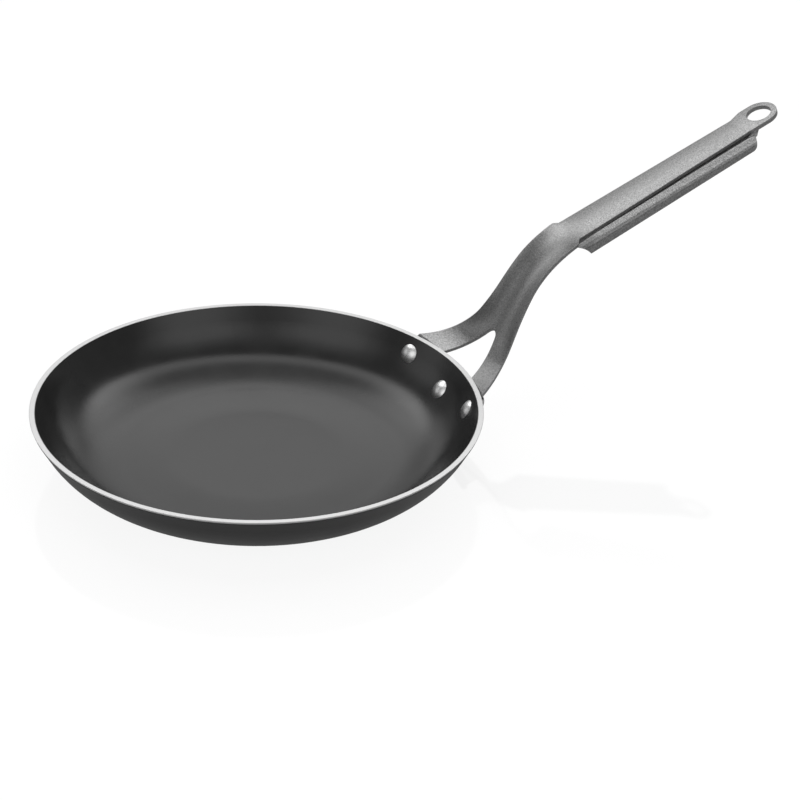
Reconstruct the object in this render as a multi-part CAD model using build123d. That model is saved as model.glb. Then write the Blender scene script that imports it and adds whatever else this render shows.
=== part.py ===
"""An omelette pan: a pressed aluminium shell, dark coated, with a pressed steel handle on three rivets.

The handle points along +X. The origin is on the pan's own axis, on the surface that the pan stands on.
"""
import os
from math import cos, radians, sin, tan

from build123d import *

# Pan body, in millimetres and degrees
rim_diameter = 241.6
pan_height = 34.5
wall_thickness = 2.6
wall_curve_radius = 47.5
wall_lean = 61.5
rim_edge_round = 0.25
bare_rim_drop = 1.5

# Coats, drawn thicker than a sprayed film
coat_thickness = 0.2
coat_setback = 0.2

# Turned base: a bare disc that stands below the coated wall, with shallow ring grooves
land_height = 0.5
land_edge_inset = 2.2
land_chamfer = 0.35
groove_count = 5
groove_width = 2.0
groove_depth = 0.3
groove_margin = 7.0
centre_land_radius = 16.0

# Handle sheet
sheet_thickness = 1.8
strap_half_width = 14.7
sheet_half_span = 46.0
dish_radius = 186.0
crown_radius = 140.0

# Handle side view: a rising bend, a straight, a long crest bend and a short bend into the grip
root_inset = 12.8
root_height = 28.6
root_slope = 9.4
rise_radius = 52.0
rise_slope = 61.2
riser_length = 20.6
crest_radius = 78.7
crest_slope = 32.9
neck_radius = 25.0
grip_slope = 23.35
dish_turn_share = 0.33
strap_steps = 48

# Fork, seen from above
prong_reach = 29.2
prong_angle = 34.6
prong_round = 35.0
gap_end_slope = 55.4
gap_tilt = 45.0
gap_half_angle = 26.5
crotch_radius = 5.0

# Grip
lead_length = 6.0
panel_start_half = 11.3
panel_end_half = 8.9
panel_length = 114.0
nose_setback = 1.6
nose_length = 2.4
nose_round = 1.8
bead_start_drop = 1.4
bead_end_drop = 2.3
side_start_half = 15.2
side_end_half = 14.8
side_start_depth = 10.5
side_end_depth = 9.4
side_length = 117.5
side_corner_round = 3.5
side_end_rake = 1.6
web_reach = 2.8
web_depth = 4.0
bead_lean = 130.0
fold_edge_share = 0.7
fold_root = 1.5
fold_root_depth = 1.0
scoop_start = 4.8
scoop_end = 3.2
scoop_sag = 1.6

# Hanging ring, past the end of the folded sides, and the tab that carries it
ring_gap = 12.4
ring_radius = 10.3
ring_lift = 0.7
ring_thickness = 2.4
hole_radius = 7.0
tab_lead = 2.0
tab_ease = 7.5
tab_round = 8.0

# Riveting flange, seen from the front
flange_half_width = 45.5
flange_top = 33.0
flange_end_low = 19.0
flange_low = 11.5
flange_dip = 28.0
flange_dip_half = 19.0
flange_end_round = 6.0

# Rivets
rivet_azimuth = 18.2
side_rivet_slope = 60.0
centre_rivet_slope = 51.3
shank_radius = 2.6
head_radius = 5.5
head_height = 2.2
head_edge = 0.4
dome_reach_share = 0.6
dome_drop_share = 0.33
tail_radius = 4.8
tail_height = 1.5

# One overrun serves every cut that has to pass right through
overrun = 20.0

rim_radius = rim_diameter / 2
coat_top = pan_height - bare_rim_drop
curve_height = land_height + coat_thickness + wall_curve_radius
curve_rise = (curve_height - pan_height) * cos(radians(wall_lean))
curve_reach = (wall_curve_radius - curve_rise) / sin(radians(wall_lean))
base_radius = rim_radius - curve_reach
land_radius = base_radius - land_edge_inset
inner_face = wall_thickness + coat_thickness
ring_reach = side_length + ring_gap
tab_start = side_length - tab_lead
flange_face = -coat_thickness - sheet_thickness


def wall_point(slope, inset):
    """Point (radius, height) on the wall's curve, inset from the metal's outside towards the inside."""
    radius = wall_curve_radius - inset
    return (base_radius + radius * sin(radians(slope)), curve_height - radius * cos(radians(slope)))


def wall_at_height(height, inset):
    """Point (radius, height) on the straight top of the wall."""
    foot = wall_point(wall_lean, inset)
    return (foot[0] + (height - foot[1]) / tan(radians(wall_lean)), height)


def wall_line(inset, top, start=0.0):
    """The wall's line from a start radius on the floor, out, round the curve and up to a height."""
    floor = wall_point(0, inset)
    half_way = wall_point(wall_lean / 2, inset)
    high = wall_point(wall_lean, inset)
    return [
        Line((start, floor[1]), floor),
        ThreePointArc(floor, half_way, high),
        Line(high, wall_at_height(top, inset)),
    ]


def turned(lines):
    """Solid turned about the pan's axis from a closed outline of radius and height."""
    return revolve(Plane.XZ * make_face(Curve() + lines), axis=Axis.Z)


def wall_layer(inset_in, inset_out, top, start=0.0):
    """Shell between two insets, closed at the top by a level cut."""
    inside = wall_line(inset_in, top, start)
    outside = wall_line(inset_out, top, start)
    cap = Line(wall_at_height(top, inset_in), wall_at_height(top, inset_out))
    foot = Line((start, wall_point(0, inset_in)[1]), (start, wall_point(0, inset_out)[1]))
    return turned(inside + [cap, foot] + outside)


def rivet_spots():
    """Azimuth and wall slope of each rivet."""
    return {
        "rivet_left": (rivet_azimuth, side_rivet_slope),
        "rivet_centre": (0.0, centre_rivet_slope),
        "rivet_right": (-rivet_azimuth, side_rivet_slope),
    }


def rivet_frame(azimuth, slope):
    """Frame on the wall's coated inside, with its Z axis pointing into the pan."""
    radius, height = wall_point(slope, inner_face)
    inwards = (-sin(radians(slope)), 0, cos(radians(slope)))
    frame = Plane(origin=(radius, 0, height), x_dir=(0, 1, 0), z_dir=inwards)
    return Rot(0, 0, azimuth) * frame.location


def shank(azimuth, slope):
    """The rivet's shank, which is also the hole that it fills, run past both ends."""
    grip = inner_face - flange_face
    centre = Pos(0, 0, -grip / 2)
    return rivet_frame(azimuth, slope) * centre * Cylinder(shank_radius, grip + head_height + tail_height)


def drilled(solid):
    """The solid with the three rivet holes through it."""
    for azimuth, slope in rivet_spots().values():
        solid = solid - shank(azimuth, slope)
    return solid


def ring_groove(radius):
    """Cutter for one shallow ring groove in the turned base."""
    profile = Pos(radius, 0) * Rectangle(groove_width, groove_depth * 2)
    return revolve(Plane.XZ * profile, axis=Axis.Z)


def pan_body():
    """The pressed shell with its flat cut rim, turned base and rivet holes."""
    floor_out = wall_point(0, 0.0)[1]
    floor_in = wall_point(0, wall_thickness)[1]
    rim = [Line(wall_at_height(pan_height, 0.0), wall_at_height(pan_height, wall_thickness))]
    land = [
        Line((0, floor_in), (0, 0)),
        Line((0, 0), (land_radius - land_chamfer, 0)),
        Line((land_radius - land_chamfer, 0), (land_radius, land_chamfer)),
        Line((land_radius, land_chamfer), (land_radius, floor_out)),
    ]
    outside = wall_line(0.0, pan_height, land_radius)
    inside = wall_line(wall_thickness, pan_height)
    face = make_face(Curve() + land + outside + rim + inside)
    rim_corners = [v for v in face.vertices() if v.Y > coat_top]
    body = revolve(Plane.XZ * fillet(rim_corners, rim_edge_round), axis=Axis.Z)
    pitch = (land_radius - groove_margin - centre_land_radius) / (groove_count - 1)
    for ring in range(groove_count):
        body = body - ring_groove(centre_land_radius + ring * pitch)
    return drilled(body)


def interior_coating():
    """Dark coat on the floor and the inside of the wall."""
    return drilled(wall_layer(inner_face, wall_thickness, pan_height - coat_setback))


def exterior_coating():
    """Dark coat on the outside, from the turned base up to the bare rim."""
    return drilled(wall_layer(0.0, -coat_thickness, coat_top, land_radius))


def path_end(start, radius, slope):
    """Where an arc from a station (x, z, slope) ends once the path has the new slope."""
    x, z, before = start
    swing = radius if slope > before else -radius
    step_x = swing * (sin(radians(slope)) - sin(radians(before)))
    step_z = swing * (cos(radians(before)) - cos(radians(slope)))
    return (x + step_x, z + step_z, slope)


def path_straight(start, length):
    """Where a straight run from a station ends."""
    x, z, slope = start
    return (x + length * cos(radians(slope)), z + length * sin(radians(slope)), slope)


root_station = (rim_radius - root_inset, root_height, root_slope)
rise_end = path_end(root_station, rise_radius, rise_slope)
riser_end = path_straight(rise_end, riser_length)
crest_end = path_end(riser_end, crest_radius, crest_slope)
grip_start = path_end(crest_end, neck_radius, grip_slope)
lead_end = path_straight(grip_start, lead_length)


rise_length = rise_radius * radians(rise_slope - root_slope)
crest_length = crest_radius * radians(rise_slope - crest_slope)
neck_length = neck_radius * radians(crest_slope - grip_slope)
dish_turn_start = rise_length + riser_length + crest_length * dish_turn_share
strap_length = rise_length + riser_length + crest_length + neck_length + lead_length


def between(low, high, share):
    """Value that lies a share of the way from low to high."""
    return low + (high - low) * share


def strap_point(distance):
    """Station on the strap's middle line at a distance from its root."""
    if distance < rise_length:
        return path_end(root_station, rise_radius, between(root_slope, rise_slope, distance / rise_length))
    distance = distance - rise_length
    if distance < riser_length:
        return path_straight(rise_end, distance)
    distance = distance - riser_length
    if distance < crest_length:
        return path_end(riser_end, crest_radius, between(rise_slope, crest_slope, distance / crest_length))
    distance = distance - crest_length
    if distance < neck_length:
        return path_end(crest_end, neck_radius, between(crest_slope, grip_slope, distance / neck_length))
    return path_straight(grip_start, distance - neck_length)


def dish(distance):
    """Curvature across the sheet: hollow along the fork, then eased into a crown for the grip."""
    share = max(0, (distance - dish_turn_start) / (strap_length - dish_turn_start))
    eased = share**2 * (3 - 2 * share)
    return between(1 / dish_radius, -1 / crown_radius, eased)


def strap_stations():
    """Evenly spaced stations along the strap's middle line, each with the curvature across it."""
    distances = [strap_length * step / strap_steps for step in range(strap_steps + 1)]
    return [(strap_point(distance), dish(distance)) for distance in distances]


def station_frame(station):
    """Frame across the strap: X to the side, Y out of the sheet's top, Z along the handle."""
    x, z, slope = station
    return Plane(origin=(x, 0, z), x_dir=(0, 1, 0), z_dir=(cos(radians(slope)), 0, sin(radians(slope))))


def sheet_section(station, curvature, thickness=sheet_thickness):
    """Cross-section of the sheet before its outline is cut."""
    span = sheet_half_span
    face = sheet_thickness / 2
    back = face - thickness
    rise = curvature * span**2 / 2
    top = Bezier((-span, face + rise), (0, face - rise), (span, face + rise))
    low = Bezier((-span, back + rise), (0, back - rise), (span, back + rise))
    sides = [Line(top @ 0, low @ 0), Line(top @ 1, low @ 1)]
    return station_frame(station) * make_face(Curve() + [top, low] + sides)


def mirrored_outline(points):
    """Closed outline through points on one side and their mirror images."""
    other = [(x, -y) for x, y in reversed(points)]
    return make_face(Polyline(*points, *other, close=True))


def corners_near(face, x, tolerance):
    return [v for v in face.vertices() if abs(v.X - x) < tolerance]


def strap_outline():
    """The strap's outline from above: spreading prongs, then a parallel strap and its nose."""
    near = rim_radius - overrun
    corner = rim_radius + prong_reach
    spread = strap_half_width + (corner - near) * tan(radians(prong_angle))
    nose = grip_start[0] - nose_setback
    neck = nose + nose_length
    far = lead_end[0]
    points = [
        (near, spread),
        (corner, strap_half_width),
        (nose, strap_half_width),
        (neck, panel_start_half),
        (far + overrun, panel_start_half),
    ]
    face = mirrored_outline(points)
    face = fillet(corners_near(face, corner, nose_round), prong_round)
    face = fillet(corners_near(face, nose, nose_length / 2), nose_round)
    return face


def fork_gap():
    """Cutter for the gap between the prongs, square to the sheet."""
    half_angle = radians(gap_half_angle)
    end = path_end(root_station, rise_radius, gap_end_slope)
    tilt = radians(gap_tilt)
    along = (cos(tilt), 0, sin(tilt))
    frame = Plane(origin=(end[0], 0, end[1]), x_dir=along, z_dir=(-sin(tilt), 0, cos(tilt)))
    apex = crotch_radius / sin(half_angle) - crotch_radius
    back = rim_radius / 2
    spread = (back + apex) * tan(half_angle)
    wedge = make_face(Polyline((apex, 0), (-back, spread), (-back, -spread), close=True))
    wedge = fillet(corners_near(wedge, apex, crotch_radius / 2), crotch_radius)
    return extrude(frame * wedge, amount=overrun * 2, both=True)


def strap():
    """The dished strap with its two prongs, up to the start of the grip."""
    sheet = loft([sheet_section(station, curvature) for station, curvature in strap_stations()])
    outline = extrude(strap_outline(), amount=rim_diameter)
    return (sheet & outline) - fork_gap()


def grip_frame(reach=0.0):
    """Frame on the grip's middle line: X along the grip, Y to the side, Z out of its top."""
    x, z, slope = path_straight(grip_start, reach)
    along = (cos(radians(slope)), 0, sin(radians(slope)))
    return Plane(origin=(x, 0, z), x_dir=along, z_dir=(-sin(radians(slope)), 0, cos(radians(slope))))


def panel_half(reach):
    """Half the width of the grip's raised panel at a distance from its start."""
    return between(panel_start_half, panel_end_half, (reach - lead_length) / (panel_length - lead_length))


def lifted(rise):
    """Shift out of the grip's top."""
    slope = radians(grip_slope)
    return Pos(-sin(slope) * rise, 0, cos(slope) * rise)


def panel_outline():
    """The tapering panel, the tab that it widens into, and the ring at its end with its hole."""
    tab_end = tab_start + tab_ease
    points = [
        (lead_length, panel_half(lead_length)),
        (tab_start, panel_half(tab_start)),
        (tab_end, ring_radius),
        (ring_reach, ring_radius),
    ]
    outline = mirrored_outline(points)
    outline = fillet(corners_near(outline, tab_start, tab_ease / 2), tab_round)
    outline = fillet(corners_near(outline, tab_end, tab_ease / 2), tab_round)
    return outline + Pos(ring_reach, 0) * Circle(ring_radius) - Pos(ring_reach, 0) * Circle(hole_radius)


def panel():
    """The raised middle of the grip, crowned, then eased into the flat tab with the hanging ring."""
    crowned = sheet_section(lead_end, -1 / crown_radius)
    crowned_end = sheet_section(path_straight(grip_start, tab_start), -1 / crown_radius)
    tab_station = path_straight(grip_start, tab_start + tab_ease)
    flat = lifted(ring_lift) * sheet_section(tab_station, 0, ring_thickness)
    strip = extrude(crowned, amount=tab_start - lead_length)
    strip = strip + loft([crowned_end, flat], ruled=True)
    strip = strip + extrude(flat, amount=ring_reach + ring_radius + overrun / 2 - tab_start - tab_ease)
    return strip & extrude(grip_frame() * panel_outline(), amount=overrun, both=True)


def around(middle, radius, turn):
    """Point on a circle, turned up from its outer side by an angle in degrees."""
    return (middle[0] + radius * cos(radians(turn)), middle[1] + radius * sin(radians(turn)))


def side_section(reach):
    """Cross-section of the folded side: a crease at the panel's edge, a rounded bead and a straight flank."""
    edge = panel_half(reach)
    edge_top = sheet_thickness / 2 - edge**2 / (2 * crown_radius)
    share = reach / side_length
    outer = between(side_start_half, side_end_half, share)
    depth = between(side_start_depth, side_end_depth, share) + sheet_thickness
    crest = edge_top - between(bead_start_drop, bead_end_drop, share)
    bead = (outer - edge) / (1 - cos(radians(bead_lean)))
    middle = (outer - bead, crest - bead)
    root = around(middle, bead, bead_lean)
    shoulder = (outer, middle[1])
    low = edge_top - depth
    within = edge - fold_root
    within_top = edge_top - sheet_thickness * fold_edge_share
    within_low = edge_top - sheet_thickness - fold_root_depth
    hollow = bead - sheet_thickness
    inside = around(middle, hollow, 0)
    inside_crest = around(middle, hollow, bead_lean / 2)
    inside_root = around(middle, hollow, bead_lean)
    under_root = (root[0], root[1] - sheet_thickness)
    lines = [
        Line((within, within_top), root),
        ThreePointArc(root, (middle[0], crest), shoulder),
        Line(shoulder, (outer, low)),
        Line((outer, low), (inside[0], low)),
        Line((inside[0], low), inside),
        ThreePointArc(inside, inside_crest, inside_root),
        Line(inside_root, under_root),
        Line(under_root, (within, within_low)),
        Line((within, within_low), (within, within_top)),
    ]
    frame = grip_frame(reach)
    across = Plane(origin=frame.origin, x_dir=(0, 1, 0), z_dir=frame.x_dir)
    return across * make_face(Curve() + lines)


def side_outline():
    """The folded side's outline from the side: a scooped front, a tapering lower edge and a rounded end."""
    top = sheet_thickness / 2
    start = (-scoop_start, top - bead_start_drop)
    tip = (scoop_end, top - side_start_depth)
    belly = ((start[0] + tip[0]) / 2 + scoop_sag / 2, (start[1] + tip[1]) / 2 + scoop_sag / 2)
    low_end = (side_length - side_end_rake, top - side_end_depth)
    web_foot = (side_length, top - web_depth)
    high_end = (side_length + web_reach, top)
    lines = [
        ThreePointArc(start, belly, tip),
        Line(tip, low_end),
        Line(low_end, web_foot),
        Line(web_foot, high_end),
        Line(high_end, (high_end[0], overrun)),
        Line((high_end[0], overrun), (start[0], overrun)),
        Line((start[0], overrun), start),
    ]
    face = make_face(Curve() + lines)
    corner = [v for v in face.vertices() if abs(v.X - low_end[0]) < side_end_rake / 2]
    face = fillet(corner, side_corner_round)
    frame = grip_frame()
    side = Plane(origin=frame.origin, x_dir=frame.x_dir, z_dir=(0, -1, 0))
    return extrude(side * face, amount=rim_radius, both=True)


def grip_sides():
    """Both folded sides of the grip."""
    stations = (-scoop_start, side_length + web_reach)
    side = loft([side_section(reach) for reach in stations], ruled=True)
    side = side & side_outline()
    return side + mirror(side, Plane.XZ)


def end_webs():
    """Webs that join the ends of the folded sides to the underside of the tab."""
    top = sheet_thickness / 2 - ring_lift
    start = side_length - web_depth
    points = [
        (start, -bead_end_drop),
        (ring_reach - hole_radius, top),
        (side_length + web_reach, -web_depth),
        (start, -web_depth),
    ]
    frame = grip_frame()
    side = Plane(origin=frame.origin, x_dir=frame.x_dir, z_dir=(0, -1, 0))
    profile = side * make_face(Polyline(*points, close=True))
    inner = ring_radius - sheet_thickness
    return extrude(profile, amount=ring_radius, both=True) - extrude(profile, amount=inner, both=True)


def flange():
    """The curved plate against the wall, under the rim, that takes the three rivets."""
    band = wall_layer(-coat_thickness, flange_face, flange_top)
    half = flange_half_width
    lines = [
        ThreePointArc((-half, flange_end_low), (0, flange_low), (half, flange_end_low)),
        Line((half, flange_end_low), (half, flange_top)),
        Line((half, flange_top), (flange_dip_half, flange_top)),
        ThreePointArc((flange_dip_half, flange_top), (0, flange_dip), (-flange_dip_half, flange_top)),
        Line((-flange_dip_half, flange_top), (-half, flange_top)),
        Line((-half, flange_top), (-half, flange_end_low)),
    ]
    face = make_face(Curve() + lines)
    ends = [v for v in face.vertices() if abs(v.X) > half - flange_end_round / 2]
    face = fillet(ends, flange_end_round)
    return band & extrude(Plane.YZ * face, amount=rim_diameter)


def pan_space():
    """All that lies inside the coated wall, carried on above the rim along the wall's own slope."""
    top = pan_height + overrun
    wall = wall_line(-coat_thickness, top)
    end = wall_at_height(top, -coat_thickness)
    floor = wall_point(0, -coat_thickness)[1]
    return turned(wall + [Line(end, (0, top)), Line((0, top), (0, floor))])


def handle():
    """The pressed handle: flange, prongs, strap, grip with folded sides, and hanging ring."""
    plate = strap() + panel() + grip_sides() + end_webs()
    plate = plate - pan_space()
    return drilled(plate + flange())


def rivet_head(radius, height):
    """Low dome on a short straight edge, run past its seat."""
    seat = -height * 2
    shoulder = (radius * dome_reach_share, height - (height - head_edge) * dome_drop_share)
    lines = [
        ThreePointArc((0, height), shoulder, (radius, head_edge)),
        Line((radius, head_edge), (radius, seat)),
        Line((radius, seat), (0, seat)),
        Line((0, seat), (0, height)),
    ]
    return revolve(Plane.XZ * make_face(Curve() + lines), axis=Axis.Z)


def rivet(azimuth, slope):
    """Domed head inside, shank through the stack, and a set tail on the flange."""
    grip = inner_face - flange_face
    frame = rivet_frame(azimuth, slope)
    stack = wall_layer(inner_face, flange_face, pan_height)
    head = frame * rivet_head(head_radius, head_height)
    tail = frame * Pos(0, 0, -grip) * Rot(180, 0, 0) * rivet_head(tail_radius, tail_height)
    core = frame * Pos(0, 0, -grip / 2) * Cylinder(shank_radius, grip + head_edge * 2)
    return (head + tail - stack) + core


def export(name, shape):
    export_step(shape, f"parts/{name}.step")


def main():
    os.makedirs("parts", exist_ok=True)
    export("pan_body", pan_body())
    export("interior_coating", interior_coating())
    export("exterior_coating", exterior_coating())
    export("handle", handle())
    for name, (azimuth, slope) in rivet_spots().items():
        export(name, rivet(azimuth, slope))


main()
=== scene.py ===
"""Studio picture of the omelette pan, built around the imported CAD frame."""
from math import atan, cos, radians, sin

import bpy
from mathutils import Matrix, Vector

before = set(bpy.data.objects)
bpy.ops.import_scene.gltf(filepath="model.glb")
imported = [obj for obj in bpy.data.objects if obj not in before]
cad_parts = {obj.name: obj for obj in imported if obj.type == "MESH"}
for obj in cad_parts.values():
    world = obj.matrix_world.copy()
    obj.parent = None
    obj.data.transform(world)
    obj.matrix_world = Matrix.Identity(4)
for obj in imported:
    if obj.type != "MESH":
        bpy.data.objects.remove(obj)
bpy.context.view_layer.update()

# Camera: its place in metres and its angles in degrees; heading is measured from +Y towards +X
camera_place = (-0.40988, -0.97939, 0.61944)
camera_heading = 26.8
camera_pitch = 28.7
camera_roll = 2.01
camera_sensor_mm = 36.0
picture_pixels = 800
focal_pixels = 2268.5

# Most of a noise texture's values lie in this range; the few beyond it count as its ends
noise_range = (0.3, 0.7)
# Detail of the finest noises
fine_detail = 2.0

# Coats: tone, roughness, strength of the grain, and in metres how deep the pan's floor looks dished
inside_coat = (0.021, 0.18, 0.3, 0.0026)
outside_coat = (0.015, 0.45, 0.1, 0.0)
coat_tone_spread = 0.1
coat_roughness_spread = 0.02
coat_grain_scale = 1300.0
coat_grain_height = 0.0001
coat_patch_scale = 60.0
# Where that dish starts to rise and where the wall's bend takes over, as radii in metres
dish_reach = (0.045, 0.088)

# Bare rim and base
turned_tone = 0.68
turned_roughness = (0.3, 0.42)
turned_ring_scale = 1800.0
turned_ring_strength = 0.12
turned_ring_height = 0.0001

# Rivets
rivet_tone = 0.8
rivet_roughness = (0.26, 0.36)
rivet_patch_scale = 1500.0
rivet_dent_scale = 500.0
rivet_dent_strength = 0.25
rivet_dent_height = 0.0002

# Handle's paint
paint_tone = (0.17, 0.29)
paint_metallic = 0.85
paint_roughness = (0.26, 0.36)
paint_mottle_scale = 1300.0
paint_grain_scale = 1500.0
paint_grain_roughness = 0.6
paint_grain_strength = 0.5
paint_grain_height = 0.00015
paint_edge_radius = 0.0006
paint_edge_samples = 6

# Where the handle's strap and grip start along X, in metres, and how much hollower and fuller they look, per metre
strap_start = (0.132, 0.15)
grip_start = (0.176, 0.197)
strap_dish = 15.0
grip_crown = 4.5
# The grip's slope in degrees, and in metres where its sides start along X, where their bead rolls over, and how far
grip_slope = 23.35
side_start = (0.177, 0.184)
bead_reach = (0.0155, 0.0205)
bead_roll = 0.0027

# Floor: its half width in metres, its tones, and the shares of its look
floor_half_width = 8.0
floor_lit_tone = 0.9
floor_around_tone = 0.32
floor_glow = 0.985
floor_lit_share = 0.12
floor_reflected_share = 0.15
floor_gloss_roughness = 0.06
# The gloss goes from its first share to its second between these distances in metres
floor_gloss_reach = (0.12, 0.24)
floor_gloss_shares = (0.025, 0.015)

# Light of the dim room
room_light = 0.25
# Soft boxes, in degrees: right of the camera's heading, up, inner and outer angle; then the strength
soft_boxes = (
    (16, 44, 6, 20, 0.75),
    (-16, 44, 6, 20, 0.65),
    (33, 42, 4, 16, 0.8),
    (-33, 42, 4, 16, 0.8),
    (50, 45, 5, 18, 1.1),
    (-48, 45, 4, 16, 1.1),
    (0, 29, 5, 17, 0.36),
    (0, 14, 20, 50, 0.45),
    (-37, 26, 3, 14, 0.55),
    (26, 15, 2, 11, 0.25),
    (-26, 15, 2, 11, 0.25),
    (-80, 20, 6, 20, 0.7),
    (138, 36, 8, 34, 1.2),
    (-138, 36, 8, 34, 1.2),
    (180, 46, 8, 30, 0.35),
)
# The overhead hoop: its centre, right and up, then the angles from there between which it rises and falls
hoop_centre = (0, 56)
hoop_rise = (24, 37)
hoop_fall = (39, 44)
hoop_strength = 1.5
hoop_fill_strength = 0.5
# The heights in degrees between which the hoop comes in
hoop_low_fade = (24, 38)

# The key, for the floor alone: where it stands, its angle in degrees, and its strength
key_direction = (0.48, 0.58, 0.66)
key_angle = 1.5
key_strength = 2.6
# Wide lamps for the handle alone: name, right, up, angle and strength
handle_lamps = (
    ("grip_light", -31, 55, 24, 0.22),
    ("bead_light", -141, 77, 32, 0.34),
    ("strap_light", -36, 8, 26, 0.14),
)


def studio_direction(right, elevation):
    """Unit vector: degrees to the right of the camera's heading, and degrees above the horizon."""
    azimuth = radians(camera_heading + right)
    level = cos(radians(elevation))
    return Vector((level * sin(azimuth), level * cos(azimuth), sin(radians(elevation))))


class Nodes:
    """Short hand for building one node tree."""

    def __init__(self, tree):
        self.tree = tree
        tree.nodes.clear()

    def add(self, kind, values=None, **settings):
        node = self.tree.nodes.new(kind)
        for name, value in settings.items():
            setattr(node, name, value)
        for socket, value in (values or {}).items():
            if isinstance(value, bpy.types.NodeSocket):
                self.tree.links.new(value, node.inputs[socket])
            else:
                node.inputs[socket].default_value = value
        return node

    def math(self, operation, first, second=0.0):
        return self.add("ShaderNodeMath", {0: first, 1: second}, operation=operation).outputs[0]

    def smooth(self, value, low, high, start=0.0, end=1.0):
        """Value mapped from low..high to start..end along a smooth step."""
        sockets = {"Value": value, "From Min": low, "From Max": high, "To Min": start, "To Max": end}
        return self.add("ShaderNodeMapRange", sockets, interpolation_type="SMOOTHSTEP").outputs["Result"]

    def noise(self, vector, scale, detail=3.0, roughness=0.5):
        sockets = {"Vector": vector, "Scale": scale, "Detail": detail, "Roughness": roughness}
        return self.add("ShaderNodeTexNoise", sockets).outputs["Fac"]

    def spread(self, noise, low, high):
        """Noise spread over low..high."""
        return self.smooth(noise, *noise_range, low, high)

    def place(self):
        return self.add("ShaderNodeTexCoord").outputs["Object"]

    def axis_distance(self, parts):
        """How far from the pan's axis a separated place is."""
        flat = self.add("ShaderNodeCombineXYZ", {"X": parts.outputs["X"], "Y": parts.outputs["Y"]}).outputs[0]
        return self.add("ShaderNodeVectorMath", {0: flat}, operation="LENGTH").outputs["Value"]

    def grey(self, shade):
        sockets = {"Red": shade, "Green": shade, "Blue": shade}
        return self.add("ShaderNodeCombineColor", sockets).outputs["Color"]

    def bump(self, height, strength, distance, normal=None):
        """Normal bent by a height; strength and distance of 1 take the height as it is, in metres."""
        sockets = {"Height": height, "Strength": strength, "Distance": distance}
        if normal is not None:
            sockets["Normal"] = normal
        return self.add("ShaderNodeBump", sockets).outputs["Normal"]

    def finish_object(self, colour, metallic, roughness, normal):
        """Plain shader for a piece of the pan, and the tree's output."""
        sockets = {"Base Color": colour, "Metallic": metallic, "Roughness": roughness, "Normal": normal}
        self.finish(self.add("ShaderNodeBsdfPrincipled", sockets).outputs["BSDF"])

    def finish(self, shader):
        self.add("ShaderNodeOutputMaterial", {"Surface": shader})


def opaque_grey(tone):
    return (tone, tone, tone, 1.0)


def new_material(name):
    material = bpy.data.materials.new(name)
    material.use_nodes = True
    return material, Nodes(material.node_tree)


def coat_material(name, tone, roughness, grain, dish_depth):
    """Sprayed coat: nearly black, satin, with a fine grain; bump can dish the look of the pan's flat floor."""
    material, n = new_material(name)
    place = n.place()
    fine = n.noise(place, coat_grain_scale, fine_detail)
    broad = n.noise(place, coat_patch_scale)
    radius = n.axis_distance(n.add("ShaderNodeSeparateXYZ", {0: place}))
    dished = n.bump(n.smooth(radius, *dish_reach, 0.0, dish_depth), 1.0, 1.0)
    normal = n.bump(fine, grain, coat_grain_height, dished)
    shade = n.spread(broad, tone * (1 - coat_tone_spread), tone * (1 + coat_tone_spread))
    rough = n.spread(broad, roughness - coat_roughness_spread, roughness + coat_roughness_spread)
    n.finish_object(n.grey(shade), 0.0, rough, normal)
    return material


def turned_aluminium():
    """Bare aluminium with fine rings about the pan's axis."""
    material, n = new_material("turned_aluminium")
    parts = n.add("ShaderNodeSeparateXYZ", {0: n.place()})
    along = n.add("ShaderNodeCombineXYZ", {"X": n.axis_distance(parts), "Z": parts.outputs["Z"]}).outputs[0]
    rings = n.noise(along, turned_ring_scale, fine_detail)
    normal = n.bump(rings, turned_ring_strength, turned_ring_height)
    n.finish_object(opaque_grey(turned_tone), 1.0, n.spread(rings, *turned_roughness), normal)
    return material


def rivet_aluminium():
    """Satin rivet metal, slightly uneven from being set."""
    material, n = new_material("rivet_aluminium")
    place = n.place()
    dents = n.noise(place, rivet_dent_scale, fine_detail)
    normal = n.bump(dents, rivet_dent_strength, rivet_dent_height)
    rough = n.spread(n.noise(place, rivet_patch_scale), *rivet_roughness)
    n.finish_object(opaque_grey(rivet_tone), 1.0, rough, normal)
    return material


def handle_form(n, place):
    """Height for bump, in metres: a hollower strap, a fuller panel on the grip and rounder beads."""
    parts = n.add("ShaderNodeSeparateXYZ", {0: place})
    along = parts.outputs["X"]
    dished = n.smooth(along, *strap_start, 0.0, strap_dish)
    crowned = n.smooth(along, *grip_start, 0.0, strap_dish + grip_crown)
    across = n.math("MULTIPLY", parts.outputs["Y"], parts.outputs["Y"])
    curved = n.math("MULTIPLY", across, n.math("SUBTRACT", dished, crowned))
    upright = n.math("MULTIPLY", parts.outputs["Z"], cos(radians(grip_slope)))
    rise = n.math("SUBTRACT", upright, n.math("MULTIPLY", along, sin(radians(grip_slope))))
    roll = n.smooth(rise, *bead_reach, bead_roll, 0.0)
    return n.math("ADD", curved, n.math("MULTIPLY", roll, n.smooth(along, *side_start)))


def handle_paint():
    """Grey metallic paint with a grainy surface and softened edges, over the handle's form."""
    material, n = new_material("handle_grey_paint")
    place = n.place()
    grain = n.noise(place, paint_grain_scale, roughness=paint_grain_roughness)
    mottle = n.noise(place, paint_mottle_scale, fine_detail)
    edges = n.add("ShaderNodeBevel", {"Radius": paint_edge_radius}, samples=paint_edge_samples).outputs["Normal"]
    formed = n.bump(handle_form(n, place), 1.0, 1.0, edges)
    normal = n.bump(grain, paint_grain_strength, paint_grain_height, formed)
    shade = n.grey(n.spread(mottle, *paint_tone))
    n.finish_object(shade, paint_metallic, n.spread(grain, *paint_roughness), normal)
    return material


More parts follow.
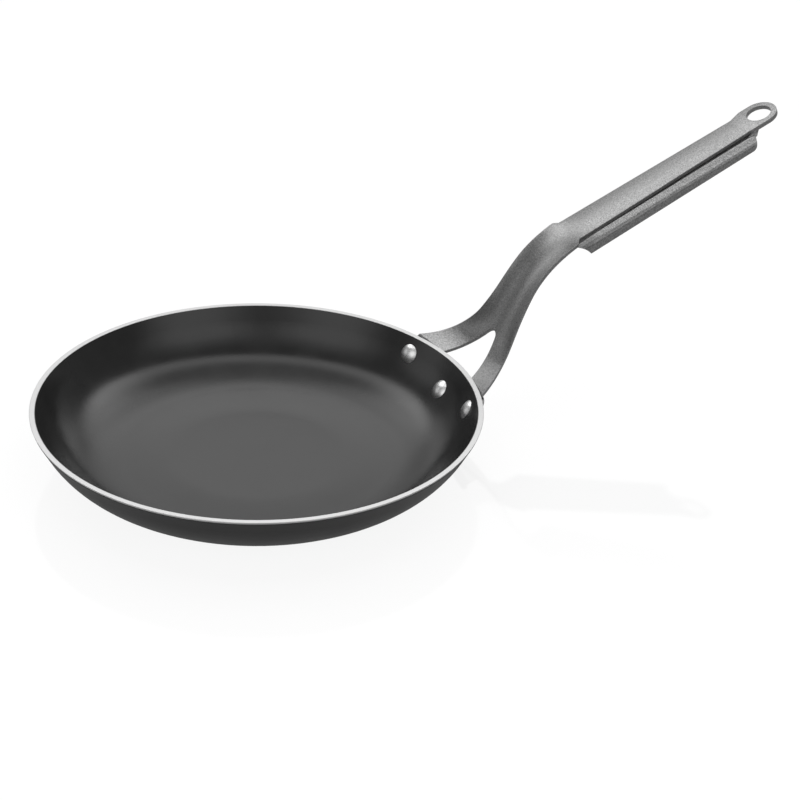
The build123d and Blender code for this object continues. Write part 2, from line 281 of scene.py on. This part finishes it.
def floor_material():
    """White floor: it glows to the camera and a little to reflections, and keeps shadow and a faint gloss."""
    material, n = new_material("floor_white")

    def shader(kind, **values):
        return n.add("ShaderNode" + kind, values).outputs[0]

    def mix(share, first, second):
        return n.add("ShaderNodeMixShader", {0: share, 1: first, 2: second}).outputs[0]

    path = n.add("ShaderNodeLightPath")
    mirrored = n.math("MAXIMUM", path.outputs["Is Glossy Ray"], path.outputs["Is Transmission Ray"])
    away = n.add("ShaderNodeVectorMath", {0: n.place()}, operation="LENGTH").outputs["Value"]
    lit = shader("BsdfDiffuse", Color=opaque_grey(floor_lit_tone))
    around = shader("BsdfDiffuse", Color=opaque_grey(floor_around_tone))
    gloss = shader("BsdfGlossy", Color=opaque_grey(1.0), Roughness=floor_gloss_roughness)
    glow = shader("Emission", Strength=floor_glow)
    shown = mix(n.smooth(away, *floor_gloss_reach, *floor_gloss_shares), mix(floor_lit_share, glow, lit), gloss)
    plain = mix(mirrored, around, mix(floor_reflected_share, around, glow))
    n.finish(mix(path.outputs["Is Camera Ray"], plain, shown))
    return material


def build_floor():
    mesh = bpy.data.meshes.new("floor")
    signs = ((-1, -1), (1, -1), (1, 1), (-1, 1))
    corners = [(x * floor_half_width, y * floor_half_width, 0.0) for x, y in signs]
    mesh.from_pydata(corners, [], [(0, 1, 2, 3)])
    floor = bpy.data.objects.new("floor", mesh)
    bpy.context.scene.collection.objects.link(floor)
    mesh.materials.append(floor_material())
    return floor


def studio_world():
    """Studio surroundings: soft boxes on all sides and a hoop of light overhead. The camera sees plain white."""
    world = bpy.data.worlds.new("studio")
    bpy.context.scene.world = world
    world.use_nodes = True
    n = Nodes(world.node_tree)
    look = n.add("ShaderNodeTexCoord").outputs["Generated"]

    def angle_from(right, up):
        sockets = {0: look, 1: studio_direction(right, up)}
        return n.math("ARCCOSINE", n.add("ShaderNodeVectorMath", sockets, operation="DOT_PRODUCT").outputs["Value"])

    total = room_light
    for right, up, inner, outer, strength in soft_boxes:
        patch = n.smooth(angle_from(right, up), radians(inner), radians(outer), strength, 0.0)
        total = n.math("ADD", total, patch)
    off_centre = angle_from(*hoop_centre)
    rise = n.smooth(off_centre, *map(radians, hoop_rise), 0.0, hoop_strength)
    fall = n.smooth(off_centre, *map(radians, hoop_fall), 1.0, 0.0)
    height = n.add("ShaderNodeSeparateXYZ", {0: look}).outputs["Z"]
    lifted = n.smooth(height, *(sin(radians(angle)) for angle in hoop_low_fade))
    hoop = n.math("MULTIPLY", n.math("ADD", rise, hoop_fill_strength), fall)
    total = n.math("ADD", total, n.math("MULTIPLY", hoop, lifted))
    seen = n.add("ShaderNodeLightPath").outputs["Is Camera Ray"]
    lit = n.math("MULTIPLY", total, n.math("SUBTRACT", 1.0, seen))
    background = n.add("ShaderNodeBackground", {"Strength": n.math("ADD", lit, seen)}).outputs[0]
    n.add("ShaderNodeOutputWorld", {"Surface": background})


def far_lamp(name, direction, angle, strength, lit, casting):
    """A distant lamp that lights one object, and takes its shadow from one. Angle in degrees."""
    data = bpy.data.lights.new(name, "SUN")
    data.energy = strength
    data.angle = radians(angle)
    lamp = bpy.data.objects.new(name, data)
    bpy.context.scene.collection.objects.link(lamp)
    lamp.rotation_euler = direction.to_track_quat("Z", "Y").to_euler()
    receivers = bpy.data.collections.new(name + "_lit")
    receivers.objects.link(lit)
    blockers = bpy.data.collections.new(name + "_casting")
    blockers.objects.link(casting)
    lamp.light_linking.receiver_collection = receivers
    lamp.light_linking.blocker_collection = blockers


def build_lamps(floor):
    """A key for the floor, where it casts the handle's faint shadow, and soft lamps for the handle."""
    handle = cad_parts["handle"]
    far_lamp("key", Vector(key_direction), key_angle, key_strength, floor, handle)
    for name, right, up, angle, strength in handle_lamps:
        far_lamp(name, studio_direction(right, up), angle, strength, handle, handle)


def build_camera():
    data = bpy.data.cameras.new("camera")
    data.sensor_width = camera_sensor_mm
    data.sensor_fit = "HORIZONTAL"
    data.angle = 2 * atan(picture_pixels / 2 / focal_pixels)
    camera = bpy.data.objects.new("camera", data)
    bpy.context.scene.collection.objects.link(camera)
    turn = Matrix.Rotation(radians(-camera_heading), 4, "Z")
    tilt = Matrix.Rotation(radians(90 - camera_pitch), 4, "X")
    roll = Matrix.Rotation(radians(camera_roll), 4, "Z")
    camera.matrix_world = Matrix.Translation(camera_place) @ turn @ tilt @ roll
    bpy.context.scene.camera = camera


def dress_nodes():
    """Gives each CAD node its finished material."""
    finishes = {
        "pan_body": turned_aluminium(),
        "interior_coating": coat_material("inside_coat_satin", *inside_coat),
        "exterior_coating": coat_material("outside_coat_satin", *outside_coat),
        "handle": handle_paint(),
    }
    rivet = rivet_aluminium()
    for name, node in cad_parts.items():
        for slot in node.material_slots:
            slot.material = finishes.get(name, rivet)


dress_nodes()
studio_world()
build_lamps(build_floor())
build_camera()
bpy.context.scene.view_settings.view_transform = "Standard"
